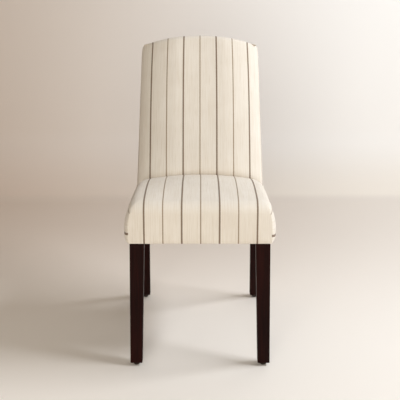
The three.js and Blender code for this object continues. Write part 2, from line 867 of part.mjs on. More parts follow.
addStraps("seat_strap_long", longStrapX, longSeatStrap);
addStraps("seat_strap_cross", crossStrapY, crossSeatStrap);
addStraps("back_strap_cross", backStrapV, crossBackStrap);
addStraps("back_strap_upright", backUprightX, uprightBackStrap);

// A flat cloth under or over the seat frame, notched at the four corners.
function notchedCloth(halfWidth, front, rear, frontNotch, rearNotch, bottom) {
  const half = [
    [frontNotch.x, front],
    [frontNotch.x, frontNotch.y],
    [halfWidth, frontNotch.y],
    [halfWidth, rearNotch.y],
    [rearNotch.x, rearNotch.y],
    [rearNotch.x, rear],
  ];
  const otherHalf = half.map(([x, y]) => [-x, y]).reverse();
  return prism([...half, ...otherHalf], "z", bottom, bottom + clothThickness);
}

const deckCloth = notchedCloth(
  halfFrame - clothEdge,
  legFront + clothEdge,
  postRear - clothEdge,
  { x: halfFrame - 2 * clothEdge, y: legFront + 2 * clothEdge },
  { x: postInnerAtSeat - clothEdge, y: postFront - clothEdge },
  clothBottom,
);
addPiece("deck_cloth", deckCloth, materials.cloth());

const dustCover = notchedCloth(
  halfFrame - dustCoverEdge,
  legFront + dustCoverEdge,
  postRear - dustCoverEdge,
  { x: legInner - legNotch, y: legFront + legTop + legNotch },
  { x: postInnerAtSeat - legNotch, y: postFront - legNotch },
  undersideHeight - clearance - clothThickness,
);
addPiece("dust_cover", dustCover, materials.cloth());

// Seat foam, wadding and cover
const everywhere = [-overallDepth, overallDepth];
const room = (x, y, z) => solidFrom(block(x, y, z));
const grownPosts = bothSides(postBody(clearance));
const grownLegs = bothSides(frontLegBody(clearance));
const behindFrame = (z) => room(everywhere, [postRear - clearance, overallDepth], z);

function seatFoam(skin, bottom) {
  return cut(
    seatForm(skin),
    room(everywhere, everywhere, [-overrun, bottom]),
    behindFrame([-overrun, overallHeight]),
    ...grownPosts,
  );
}

addSolid("seat_foam", seatFoam(coverDepth + seatWadding, foamBottom), materials.foam());

const frameSpace = room(
  [-halfFrame - clearance, halfFrame + clearance],
  [legFront - clearance, overallDepth],
  [-overrun, foamBottom],
);
const seatWaddingSolid = cut(
  seatForm(coverDepth),
  seatFoam(coverDepth + seatWadding - clearance, foamBottom - clearance),
  frameSpace,
  room(everywhere, everywhere, [-overrun, undersideHeight + waddingHem]),
  behindFrame([-overrun, overallHeight]),
  ...grownPosts,
);
addSolid("seat_wadding", seatWaddingSolid, materials.wadding());

const mouthX = [coverTurnIn - halfFrame, halfFrame - coverTurnIn];
const seatCover = cut(
  seatForm(0),
  seatForm(fabric),
  room(mouthX, [legFront + coverTurnIn, overallDepth], [-overrun, frameBottom + clearance]),
  room(mouthX, [postRear - clearance, overallDepth], [-overrun, overallHeight]),
  behindFrame([frameTop, overallHeight]),
  ...grownLegs,
  ...grownPosts,
);
addSolid("seat_cover", seatCover, materials.striped());

// Back foam, wadding and covers
const grownSeat = seatForm(-clearance);
const strapSpace = clearance + webbingThickness + strapRise + clearance;

function backHollow() {
  const sideX = postOuter(crestV - frameCrown - archRise) + 2 * clearance;
  const half = [
    [frameWidth, -overallHeight],
    [frameWidth, overrun],
    [postOuter(overrun) + 2 * clearance, overrun],
  ];
  for (const share of steps(8).slice(0, -1)) {
    const x = sideX * (1 - share);
    half.push([x, crestV - frameCrown - archDrop(x) + clearance]);
  }
  const top = [0, crestV - frameCrown + clearance];
  const otherHalf = half.map(([x, v]) => [-x, v]).reverse();
  const hollow = prism([...half, top, ...otherHalf], "y", -strapSpace, overallDepth);
  return solidFrom(hollow.applyMatrix4(backFrame));
}

const behindBack = rearSheet(-clearance, overallDepth, -overrun);
const backFoam = cut(backForm(coverDepth), backHollow(), behindBack, grownSeat);
addSolid("back_foam", backFoam, materials.foam());

const sheetInset = rearEdgeRadius + fabric;
const rearWaddingSheet = rearSheet(clearance, clearance + rearWadding, frameBottom).intersect(
  archedPrism((v) => backHalfWidth(v) - sheetInset, sheetInset, -overallHeight, ...everywhere),
);
addSolid("rear_wadding", rearWaddingSheet, materials.wadding());

const rearMouth = rearSheet(rearStack - coverDepth, rearStack + overrun, -overrun).intersect(
  archedPrism((v) => backHalfWidth(v) - coverTurnIn, coverTurnIn, -overallHeight, ...everywhere),
);
const insideBackCover = cut(backForm(0), backForm(fabric), rearMouth, grownSeat);
addSolid("inside_back_cover", insideBackCover, materials.striped());

const outsideBackCover = rearSheet(rearStack + clearance, rearStack + coverDepth, undersideHeight).intersect(
  archedPrism((v) => backHalfWidth(v) - seamInset, seamInset, -overallHeight, ...everywhere),
);
addSolid("outside_back_cover", outsideBackCover, materials.striped());

export default chair;
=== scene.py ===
import math

import bmesh
import bpy
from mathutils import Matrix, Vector


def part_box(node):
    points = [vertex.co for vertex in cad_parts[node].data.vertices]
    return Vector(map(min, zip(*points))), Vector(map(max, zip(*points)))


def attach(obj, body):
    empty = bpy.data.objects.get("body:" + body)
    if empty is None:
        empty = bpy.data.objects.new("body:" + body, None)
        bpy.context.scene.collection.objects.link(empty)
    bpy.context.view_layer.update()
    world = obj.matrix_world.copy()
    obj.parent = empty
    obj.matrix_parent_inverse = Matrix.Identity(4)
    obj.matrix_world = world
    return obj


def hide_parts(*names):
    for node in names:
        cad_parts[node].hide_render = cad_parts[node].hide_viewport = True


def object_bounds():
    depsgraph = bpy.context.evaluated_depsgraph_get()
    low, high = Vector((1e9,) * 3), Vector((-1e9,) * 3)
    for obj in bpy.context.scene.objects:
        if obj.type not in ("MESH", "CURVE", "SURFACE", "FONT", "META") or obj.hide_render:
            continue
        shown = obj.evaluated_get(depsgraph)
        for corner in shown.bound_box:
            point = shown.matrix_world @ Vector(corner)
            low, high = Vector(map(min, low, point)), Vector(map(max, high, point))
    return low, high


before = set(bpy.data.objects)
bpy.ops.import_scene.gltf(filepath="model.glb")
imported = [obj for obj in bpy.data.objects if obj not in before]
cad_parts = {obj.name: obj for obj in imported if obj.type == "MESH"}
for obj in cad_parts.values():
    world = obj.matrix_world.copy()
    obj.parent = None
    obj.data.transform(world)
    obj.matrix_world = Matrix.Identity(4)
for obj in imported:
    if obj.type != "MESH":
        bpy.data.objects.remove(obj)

cad_box = [list(corner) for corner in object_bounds()]

# Front legs
# Square tapered legs of solid hardwood, stained espresso and sealed with a satin lacquer.
# The four long edges are eased by hand. Their upper ends stand inside the seat's corners.

QUARTER_TURN = math.pi / 2
MERGE_DISTANCE = 1e-5
HARD_CREASE = 40
SOFT_CREASE = 60


class Signal:
    """What varies over a surface. Arithmetic on it adds the nodes that work it out."""

    def __init__(self, finish, socket):
        self.finish = finish
        self.socket = socket

    def __add__(self, other):
        return self.finish.math("ADD", self, other)

    def __sub__(self, other):
        return self.finish.math("SUBTRACT", self, other)

    def __mul__(self, other):
        return self.finish.math("MULTIPLY", self, other)

    def __truediv__(self, other):
        return self.finish.math("DIVIDE", self, other)

    __radd__ = __add__

    def ramp(self, low, high):
        """0 below low, 1 above high and a smooth rise between them."""
        settings = {"interpolation_type": "SMOOTHSTEP"}
        inputs = {"Value": self, "From Min": low, "From Max": high}
        return self.finish.node("MapRange", settings, inputs)


class Finish:
    """A material, built from nodes, for one of the chair's surfaces."""

    def __init__(self, name, **constants):
        self.material = bpy.data.materials.new(name)
        self.material.use_nodes = True
        self.tree = self.material.node_tree
        self.shader = self.tree.nodes["Principled BSDF"]
        for key, value in constants.items():
            socket = key.replace("_", " ").title().replace("Ior", "IOR")
            self.feed(self.shader.inputs[socket], value)

    def feed(self, socket, value):
        if isinstance(value, Signal):
            self.tree.links.new(value.socket, socket)
        else:
            socket.default_value = value

    def node(self, kind, settings, inputs, output=None):
        """A new node's output of the given name, or else its first one."""
        made = self.tree.nodes.new("ShaderNode" + kind)
        for key, value in settings.items():
            setattr(made, key, value)
        for key, value in inputs.items():
            if isinstance(key, int):
                socket = made.inputs[key]
            else:
                socket = next(s for s in made.inputs if s.enabled and key in (s.name, s.identifier))
            self.feed(socket, value)
        shown = [s for s in made.outputs if s.enabled and output in (None, s.name)]
        return Signal(self, shown[0])

    def math(self, operation, *values):
        return self.node("Math", {"operation": operation}, dict(enumerate(values)))

    def place(self):
        return self.node("TexCoord", {}, {}, "Object")

    def axis(self, vector, name):
        return self.node("SeparateXYZ", {}, {"Vector": vector}, name)

    def scaled(self, vector, scale):
        return self.node("Mapping", {}, {"Vector": vector, "Scale": scale})

    def noise(self, vector, scale, detail=3.0, roughness=0.5):
        inputs = {"Vector": vector, "Scale": scale, "Detail": detail, "Roughness": roughness}
        return self.node("TexNoise", {}, inputs)

    def mix(self, share, first, second):
        inputs = {"Factor_Float": share, "A_Color": first, "B_Color": second}
        return self.node("Mix", {"data_type": "RGBA"}, inputs)

    def colour(self, signal):
        self.feed(self.shader.inputs["Base Color"], signal)

    def roughness(self, signal):
        self.feed(self.shader.inputs["Roughness"], signal)

    def bump(self, height, depth, strength=1.0):
        inputs = {"Height": height, "Distance": depth, "Strength": strength}
        self.feed(self.shader.inputs["Normal"], self.node("Bump", {}, inputs))


def shade(red, green, blue):
    """A screen colour, each part from 0 to 255, as the light it stands for."""
    parts = []
    for value in (red, green, blue):
        share = value / 255
        parts.append(share / 12.92 if share <= 0.04045 else ((share + 0.055) / 1.055) ** 2.4)
    return (*parts, 1.0)


def lerp(first, second, share):
    return first + (second - first) * share


def clamped(share):
    return min(max(share, 0), 1)


def finished(name, form, finish, crease=HARD_CREASE):
    """A new piece on the chair from its bmesh, smooth but for its real edges."""
    mesh = bpy.data.meshes.new(name)
    form.to_mesh(mesh)
    form.free()
    mesh.shade_smooth()
    mesh.set_sharp_from_angle(angle=math.radians(crease))
    piece = bpy.data.objects.new(name, mesh)
    bpy.context.scene.collection.objects.link(piece)
    mesh.materials.append(finish.material)
    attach(piece, "root")
    return piece


espresso = Finish(
    "espresso_lacquer",
    roughness=0.42,
    specular_ior_level=0.06,
    coat_weight=0.025,
    coat_roughness=0.3,
)
grain_place = espresso.scaled(espresso.place(), (1.0, 1.0, 0.045))
grain = espresso.noise(grain_place, 170.0, detail=5.0, roughness=0.62)
figure_place = espresso.scaled(espresso.place(), (1.0, 1.0, 0.12))
figure = espresso.noise(figure_place, 22.0, detail=2.0)
stain = grain * 0.55 + figure * 0.45
espresso.colour(espresso.mix(stain.ramp(0.35, 0.68), shade(25, 8, 6), shade(43, 14, 10)))
espresso.roughness(0.36 + grain * 0.16)
espresso.bump(grain, depth=0.00012, strength=0.5)

EASED_EDGE = 0.0015
FRONT_FOOT = 0.0365
FRONT_HEAD = 0.043
SPLAY = 0.0045
BEND_RISE = 0.0122


def split(form, place, normal):
    """New edges in a form, wherever a plane passes through it."""
    whole = form.verts[:] + form.edges[:] + form.faces[:]
    bmesh.ops.bisect_plane(form, geom=whole, plane_co=place, plane_no=normal)


def square_leg(sections):
    """A leg through its sections, bottom to top, with eased long edges and an eased foot."""
    form = bmesh.new()
    bmesh.ops.create_cube(form, size=1.0)
    spans = len(sections) - 1
    for step in range(1, spans):
        split(form, (0, 0, step / spans - 0.5), (0, 0, 1))
    eased = []
    for edge in form.edges:
        low, high = sorted(vertex.co.z for vertex in edge.verts)
        if high - low > MERGE_DISTANCE or high < MERGE_DISTANCE - 0.5:
            eased.append(edge)
    for vertex in form.verts:
        inner, outer, front, rear = sections[round((vertex.co.z + 0.5) * spans)]
        y, z = rear if vertex.co.y > 0 else front
        vertex.co = (outer if vertex.co.x > 0 else inner, y, z)
    bmesh.ops.bevel(
        form,
        geom=eased,
        offset=EASED_EDGE,
        offset_type="OFFSET",
        segments=3,
        profile=0.5,
        affect="EDGES",
        clamp_overlap=True,
        material=-1,
    )
    return form


def level(z, front, depth, outer, width):
    """A level section of a leg: its inner and outer x, then y and z of its front and its rear."""
    return (outer - width, outer, (front, z), (front + depth, z))


def leg_pair(form, name, node):
    """A leg on the right side of the chair and its mirror image on the left."""
    left = form.copy()
    bmesh.ops.scale(left, vec=(-1, 1, 1), verts=left.verts)
    bmesh.ops.reverse_faces(left, faces=left.faces)
    for side, shape in (("left", left), ("right", form)):
        piece = finished(f"{name}_{side}_shaped", shape, espresso)
        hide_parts(f"{node}_{side}")


leg_low, leg_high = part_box("front_leg_right")
leg_front = leg_low.y
foot_z = leg_low.z
frame_top = leg_high.z
bend_height = frame_top + BEND_RISE
frame_side = leg_high.x - SPLAY
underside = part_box("seat_cover")[0].z

front_sections = [
    level(foot_z, leg_front, FRONT_FOOT, leg_high.x, FRONT_FOOT),
    level(underside, leg_front, FRONT_HEAD, frame_side, FRONT_HEAD),
    level(frame_top, leg_front, FRONT_HEAD, frame_side, FRONT_HEAD),
]
leg_pair(square_leg(front_sections), "front_leg", "front_leg")

# Rear legs
# Each rear leg and back post is one sawn board: it rakes backwards below and above the seat frame.
# Only the leg shows. The post goes up inside the back and carries its rails and webbing.

REAR_FOOT_WIDTH = 0.0335
REAR_FOOT_DEPTH = 0.03
REAR_FOOT_SET = 0.111
POST_WIDTH = 0.036
POST_DEPTH = 0.034
CREST_WIDTH = 0.032
CREST_DEPTH = 0.018
BACK_RAKE = math.radians(18.5)
SIN_RAKE = math.sin(BACK_RAKE)
COS_RAKE = math.cos(BACK_RAKE)

post_low, post_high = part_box("rear_leg_and_post_right")
post_front = post_low.y
post_rear = post_front + POST_DEPTH
rear_foot_front = post_front + REAR_FOOT_SET


def back_point(x, v, w):
    """A place on the raked back: v up along the post, w backwards from its front face."""
    y = post_front + v * SIN_RAKE + w * COS_RAKE
    z = bend_height + v * COS_RAKE - w * SIN_RAKE
    return Vector((x, y, z))


post_top = (post_high.z - bend_height) / COS_RAKE
post_top_front = back_point(0, post_top, 0).yz
post_top_rear = back_point(0, post_top, CREST_DEPTH).yz
post_inner = frame_side - POST_WIDTH
bend_drop = POST_DEPTH * math.tan(BACK_RAKE / 2)
rear_sections = [
    level(foot_z, rear_foot_front, REAR_FOOT_DEPTH, post_high.x, REAR_FOOT_WIDTH),
    level(underside, post_front, POST_DEPTH, frame_side, POST_WIDTH),
    (post_inner, frame_side, (post_front, bend_height), (post_rear, bend_height - bend_drop)),
    (post_low.x, post_low.x + CREST_WIDTH, post_top_front, post_top_rear),
]
leg_pair(square_leg(rear_sections), "rear_leg", "rear_leg_and_post")

# Glides
# Round nylon glides under the feet, each a turned puck with a pin pressed into the wood.
# Their lower edge is worn round, and a shallow ring is moulded into the face.

GLIDE_RADIUS = 0.0095
GLIDE_TOP = 0.0097
GLIDE_DISH = 0.0006
GLIDE_PIN = 0.0025
GLIDE_PIN_TOP = 0.024

glide_plastic = Finish("glide_nylon", roughness=0.5, specular_ior_level=0.35)
speckle = glide_plastic.noise(glide_plastic.place(), 900.0, detail=2.0)
glide_plastic.colour(glide_plastic.mix(speckle, shade(40, 30, 25), shade(58, 45, 38)))
glide_plastic.roughness(0.42 + speckle * 0.2)
glide_plastic.bump(speckle, depth=0.00005, strength=0.4)


def closed(form):
    """A form with its meeting edges joined and its faces turned outwards."""
    bmesh.ops.remove_doubles(form, verts=form.verts, dist=MERGE_DISTANCE)
    bmesh.ops.recalc_face_normals(form, faces=form.faces)
    return form


def chain(form, places):
    """New points in a form, and the edges that join each to the next."""
    points = [form.verts.new(place) for place in places]
    edges = [form.edges.new(pair) for pair in zip(points, points[1:])]
    return points, edges


def turned(profile, centre, segments=40):
    """A round piece from its (radius, height) profile, spun about an upright line."""
    form = bmesh.new()
    points, edges = chain(form, [(radius, 0, height) for radius, height in profile])
    bmesh.ops.spin(
        form,
        geom=points + edges,
        cent=(0, 0, 0),
        axis=(0, 0, 1),
        angle=math.tau,
        steps=segments,
        use_merge=True,
    )
    closed(form)
    bmesh.ops.translate(form, vec=centre, verts=form.verts)
    return form


glide_profile = [
    (0, GLIDE_DISH),
    (0.004, GLIDE_DISH),
    (0.0046, 0),
    (0.0072, 0),
    (0.0083, 0.0003),
    (0.0091, 0.001),
    (GLIDE_RADIUS, 0.0021),
    (GLIDE_RADIUS, 0.0088),
    (0.0092, 0.0094),
    (0.0086, GLIDE_TOP),
    (GLIDE_PIN, GLIDE_TOP),
    (GLIDE_PIN, GLIDE_PIN_TOP - 0.001),
    (0.0018, GLIDE_PIN_TOP),
    (0, GLIDE_PIN_TOP),
]
for side in ("left", "right"):
    for end in ("front", "rear"):
        node = f"glide_{end}_{side}"
        low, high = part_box(node)
        centre = ((low.x + high.x) / 2, (low.y + high.y) / 2, 0)
        form = turned(glide_profile, centre)
        piece = finished(f"{node}_turned", form, glide_plastic)
        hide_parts(node)

# Seat frame and back rails
# Beech rails with tenons, four screwed corner blocks and the two rails of the back.
# All of it, and the webbing on it, is closed in by the upholstery.

beech = Finish("beech", roughness=0.6)
length_place = beech.scaled(beech.place(), (0.06, 1.0, 1.0))
rays = beech.noise(length_place, 240.0, detail=4.0, roughness=0.6)
bands = beech.noise(length_place, 35.0, detail=2.0)
beech.colour(beech.mix(rays * 0.5 + bands * 0.5, shade(205, 172, 124), shade(176, 138, 92)))
beech.roughness(0.52 + rays * 0.2)
beech.bump(rays, depth=0.0002, strength=0.5)

steel = Finish("zinc_plated_steel", metallic=1.0, roughness=0.35)
plating = steel.noise(steel.place(), 700.0)
steel.colour(steel.mix(plating, shade(176, 176, 170), shade(150, 150, 146)))
steel.roughness(0.28 + plating * 0.25)

jute = Finish("jute_webbing", roughness=0.9, specular_ior_level=0.2)
jute_noise = jute.noise(jute.place(), 420.0)
jute.colour(jute.mix(jute_noise, shade(170, 138, 92), shade(132, 104, 68)))
jute.bump(jute_noise, depth=0.0006, strength=0.8)

black_cloth = Finish("black_spunbond_cloth", roughness=0.9, specular_ior_level=0.2)
fibres = black_cloth.noise(black_cloth.place(), 1300.0, detail=4.0, roughness=0.7)
dimples = black_cloth.node("TexVoronoi", {}, {"Vector": black_cloth.place(), "Scale": 520.0})
black_cloth.colour(black_cloth.mix(fibres, shade(24, 24, 25), shade(46, 45, 45)))
black_cloth.bump(fibres * 0.5 + dimples * 0.8, depth=0.0003, strength=0.7)

# The first of these words that a hidden node's name holds gives its finish.
hidden_finishes = {"strap": jute, "screw": steel, "cloth": black_cloth, "rail": beech, "block": beech}
for name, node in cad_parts.items():
    finish = next((made for word, made in hidden_finishes.items() if word in name), None)
    if finish:
        node.data.materials.clear()
        node.data.materials.append(finish.material)

# Seat upholstery
# One crowned pad: foam and wadding under a striped cotton and linen cover, pulled down over the frame.
# The stripes run from back to front. At each front corner the cover is folded into an upright pleat.

# Heights of the top over the underside, and how its middle line falls towards the back.
SEAT_CROWN = 0.138
SEAT_REAR_RISE = 0.101
CROWN_SETBACK = 0.1
FALL_SETBACK = 0.025
FALL_LIMIT = 1.05
CROWN_GATHER = 0.42
# How far the sides stand out from the frame, from the front to the rear.
SIDE_SPARE = 0.019
REAR_SPARE = 0.0075
TAPER_POWER = 1.8
# The side's section. Each pair is for the front and for the rear of the seat.
SIDE_ROLL_WIDTH = (0.03, 0.032)
SIDE_ROLL_DEPTH = (0.024, 0.028)
SIDE_DROP = (0.009, 0.016)
SIDE_LEAN = (0.0155, 0.011)
SIDE_SQUARENESS = 0.85
CORNER_LEAN = 0.011
LEAN_SETBACK = 0.06
LEAN_START = 0.048
LEAN_POWER = 1.6
SMALLEST_RISE = 0.001
# The front and the corner in plan, and the corner's pleat. CORNER_START is in degrees.
FRONT_ROLL = 0.036
FRONT_BOW = 0.009
BOW_START = 0.1
CORNER_WIDTH = 0.014
CORNER_CLOSING = 0.6
CORNER_DEPTH = 0.045
CORNER_START = 30
PLEAT_STEP = 0.0018
PLEAT_TOP = 0.494
PLEAT_FADE = 0.03
# The crevice in front of the back, and the lower edge with its hem.
GROOVE_LEVEL = 0.04
GROOVE_WIDTH = 0.013
GROOVE_DEPTH = 0.016
GROOVE_FADE_POWER = 6
TUCK_HEIGHT = 0.017
TUCKED_OUT = 0.0021
TUCKED_CORNER = 0.003
HEM_TURN_IN = 0.024
CLOTH_THICKNESS = 0.0015
# The stripes, and how the cloth is drawn over the seat.
STRIPE_PITCH = 0.0561
STRIPE_REACH = 0.0018
THICKER_REACH = 0.0007
STRIPE_WAVER = 0.0009
STRIPE_BLUR = 0.0004
SIDE_DRAW = 0.65
SEAT_STRIPE_SHIFT = 0.002
SEAT_STRIPE_SCALE = 1.01

striped = Finish("striped_cotton_linen", roughness=0.85, specular_ior_level=0.18, sheen_weight=0.12)
cloth_place = striped.node("UVMap", {"uv_map": "cloth"}, {})
slub_place = striped.scaled(cloth_place, (1.0, 0.035, 1.0))
weft_place = striped.scaled(cloth_place, (0.05, 1.0, 1.0))
thread_place = striped.scaled(cloth_place, (1.0, 0.02, 1.0))
wobble_place = striped.scaled(cloth_place, (0.4, 1.0, 1.0))
slubs = striped.noise(slub_place, 520.0, detail=4.0, roughness=0.6)
weft = striped.noise(weft_place, 620.0, roughness=0.6)
threads = striped.noise(thread_place, 300.0, roughness=0.7)
wobble = striped.noise(wobble_place, 260.0)
clouds = striped.noise(cloth_place, 9.0)
turns = striped.axis(cloth_place, "X") / STRIPE_PITCH
nearest = striped.math("ROUND", turns)
off_line = striped.math("ABSOLUTE", turns - nearest) * STRIPE_PITCH
thick = striped.math("MODULO", striped.math("ABSOLUTE", nearest), 2.0)
reach = STRIPE_REACH + thick * THICKER_REACH + (wobble - 0.5) * STRIPE_WAVER
line = (reach - off_line).ramp(-STRIPE_BLUR, STRIPE_BLUR)
ground = striped.mix(clouds.ramp(0.3, 0.7), shade(235, 226, 213), shade(240, 232, 220))
ground = striped.mix(slubs.ramp(0.5, 0.75) * 0.5, ground, shade(214, 200, 178))
ground = striped.mix(weft.ramp(0.55, 0.8) * 0.3, ground, shade(242, 234, 220))
ground = striped.mix(threads.ramp(0.42, 0.66) * 0.32, ground, shade(218, 205, 184))
ink = striped.mix(thick, shade(156, 135, 112), shade(122, 100, 80))
striped.colour(striped.mix(line * (0.82 + slubs * 0.2), ground, ink))
striped.bump(slubs * 0.6 + weft * 0.5 + line * 0.15, depth=0.0005, strength=0.6)

seat_low, seat_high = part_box("seat_cover")
seat_front = seat_low.y
seat_rear = seat_high.y
tuck_top = underside + TUCK_HEIGHT


def seat_half_width(y):
    share = clamped((seat_rear - y) / (seat_rear - seat_front))
    return frame_side + lerp(REAR_SPARE, SIDE_SPARE, share**TAPER_POWER)


def seat_top(y):
    """The height of the seat's middle line."""
    start = seat_front + CROWN_SETBACK
    fall = min(max((y - start) / (post_front - FALL_SETBACK - start), 0), FALL_LIMIT)
    return underside + lerp(SEAT_CROWN, SEAT_REAR_RISE, fall**2)


def towards_rear(pair, y):
    """A size of the side's section, which changes from the front to the back."""
    return lerp(*pair, clamped((y - seat_front) / (post_front - seat_front)))


def side_lean(y):
    """How far the top edge of the side lies in from the wall. The folded corner stands straighter."""
    share = clamped((y - seat_front) / LEAN_SETBACK)
    return lerp(CORNER_LEAN, towards_rear(SIDE_LEAN, y), share**2)


def side_section(y):
    """The width of the side's roll, the x where it starts, and how far the top has dropped there."""
    width = towards_rear(SIDE_ROLL_WIDTH, y)
    return width, seat_half_width(y) - side_lean(y) - width, towards_rear(SIDE_DROP, y)


# The back's section, which the crevice of the seat follows.
BACK_PADDING = 0.044
BACK_SIDE_PADDING = 0.0045
BACK_TAPER = 0.0165
REAR_STACK = 0.0071
REAR_EDGE = 0.008
TOP_ROLL = 0.014
FLAT_SHARE = 0.375
ROLL_SPREAD = 4 / 3
FULLNESS_AT_SEAT = 0.47

back_seat_half = frame_side + BACK_SIDE_PADDING
back_crest_half = back_seat_half - BACK_TAPER
crest_rise = cad_box[1][2] - bend_height - TOP_ROLL
crest_v = TOP_ROLL + (crest_rise + (TOP_ROLL - BACK_PADDING) * SIN_RAKE) / COS_RAKE


def back_half_width(v):
    return lerp(back_seat_half, back_crest_half, v / crest_v)


def back_rear(v):
    """How far behind the post's front face the back's rear lies."""
    return lerp(POST_DEPTH, CREST_DEPTH, v / crest_v) + REAR_STACK


def groove(x, y):
    """How far the seat dips into the crevice in front of the back's face."""
    half_width = back_half_width(GROOVE_LEVEL)
    flat = half_width * FLAT_SHARE
    aside = clamped((abs(x) - flat) / (half_width - flat)) ** (1 / ROLL_SPREAD)
    fall = 1 - (1 - aside**2) ** (FULLNESS_AT_SEAT / 2)
    w = lerp(-BACK_PADDING, back_rear(GROOVE_LEVEL) - REAR_EDGE, fall)
    share = clamped(1 - (back_point(0, GROOVE_LEVEL, w).y - y) / GROOVE_WIDTH)
    return GROOVE_DEPTH * (1 - aside**GROOVE_FADE_POWER) * (1 - math.sqrt(1 - share**2))


# The columns of one half of the cover, from the middle of the front round to the middle of the rear.
# Those of the last part of the side, beside the back, lie closer together.
FRONT_STEPS = 30
CORNER_TURNS = (CORNER_START + 0.5, 33, 37, 42, 48, 54, 61, 68, 75, 82, 90)
SIDE_STEPS = 30
CLOSER_FROM = 0.7
CLOSER_STEPS = 48
REAR_STEPS = 10

seat_columns = (
    [("front", step / FRONT_STEPS) for step in range(FRONT_STEPS + 1)]
    + [("corner", math.radians(turn)) for turn in CORNER_TURNS]
    + [("side", step / SIDE_STEPS * CLOSER_FROM) for step in range(1, SIDE_STEPS)]
    + [("side", lerp(CLOSER_FROM, 1, step / CLOSER_STEPS)) for step in range(CLOSER_STEPS + 1)]
    + [("rear", step / REAR_STEPS) for step in range(1, REAR_STEPS + 1)]
)
pleat_column = FRONT_STEPS
corner_last = pleat_column + len(CORNER_TURNS)
seat_last = len(seat_columns) - 1
corner_start = math.radians(CORNER_START)
corner_sine = math.sin(corner_start)


def sideness(column):
    """0 on the front of the seat, 1 on its side and rear, and a rise between them round the corner."""
    kind, share = seat_columns[column]
    if kind == "corner":
        return (math.sin(share) - corner_sine) / (1 - corner_sine)
    return 0.0 if kind == "front" else 1.0


def seat_outline(column, front, inset, lean):
    """The place of a column in plan, and the way out of the seat there.

    front is the y of the seat's front, inset the share of the side's roll that is past,
    and lean the share of the side's lean and of the closing of the corner.
    """
    kind, share = seat_columns[column]
    corner_y = front + FRONT_BOW + CORNER_DEPTH * math.cos(corner_start)

    def side_x(y):
        inwards = towards_rear(SIDE_ROLL_WIDTH, y) * inset + side_lean(y) * lean
        return seat_half_width(y) - inwards

    fold = CORNER_WIDTH * (1 - CORNER_CLOSING * lean)
    pleat_x = side_x(corner_y) - fold
    if kind == "front":
        bow_width = pleat_x - BOW_START
        bow = max(pleat_x * share - BOW_START, 0) / bow_width
        slope = 2 * FRONT_BOW * bow / bow_width
        return pleat_x * share, front + FRONT_BOW * bow**2, Vector((slope, -1, 0)).normalized()
    if kind == "corner":
        x = side_x(corner_y) - fold * (1 - math.sin(share)) / (1 - corner_sine)
        y = corner_y - CORNER_DEPTH * math.cos(share)
        out_x = math.sin(share) * (1 - corner_sine) / fold
        return x, y, Vector((out_x, -math.cos(share) / CORNER_DEPTH, 0)).normalized()
    if kind == "side":
        y = lerp(corner_y, seat_rear, share)
        return side_x(y), y, Vector((1, 0, 0))
    return side_x(seat_rear) * (1 - share), seat_rear, Vector((0, 1, 0))


def tucked_outline(column):
    """The place of a column in plan at the underside, where the cover is drawn round the legs."""
    kind, share = seat_columns[column]
    outer = frame_side + TUCKED_OUT
    front = leg_front - TUCKED_OUT
    if kind == "front":
        return (outer - TUCKED_CORNER) * share, front
    if kind == "corner":
        x = outer - TUCKED_CORNER * (1 - math.sin(share))
        return x, front + TUCKED_CORNER * (1 - math.cos(share))
    if kind == "side":
        return outer, lerp(front + TUCKED_CORNER, seat_rear, share)
    return outer * (1 - share), seat_rear


def tucked_place(column, turn, hem):
    """A point where the cover is drawn in to the underside, or on the hem turned in under the frame."""
    tucked_x, tucked_y = tucked_outline(column)
    x, y, out = seat_outline(column, seat_front, 0.0, 0.0)
    x = lerp(tucked_x, x, math.sin(turn)) - out.x * HEM_TURN_IN * hem
    y = lerp(tucked_y, y, math.sin(turn)) - out.y * HEM_TURN_IN * hem
    return Vector((x, y, underside + TUCK_HEIGHT * (1 - math.cos(turn)))), out


# The rows of the cover, from the hem up to the middle line of the crown.
HEM_STEPS = 3
TUCK_STEPS = 6
WALL_STEPS = 12
ROLL_STEPS = 14
CROWN_STEPS = 18

seat_rows = (
    [("hem", 1 - step / HEM_STEPS) for step in range(HEM_STEPS)]
    + [("tuck", step / TUCK_STEPS) for step in range(TUCK_STEPS)]
    + [("wall", step / WALL_STEPS) for step in range(WALL_STEPS)]
    + [("roll", step / ROLL_STEPS) for step in range(ROLL_STEPS)]
    + [("crown", step / CROWN_STEPS) for step in range(CROWN_STEPS + 1)]
)
top_row = HEM_STEPS + TUCK_STEPS + WALL_STEPS + ROLL_STEPS


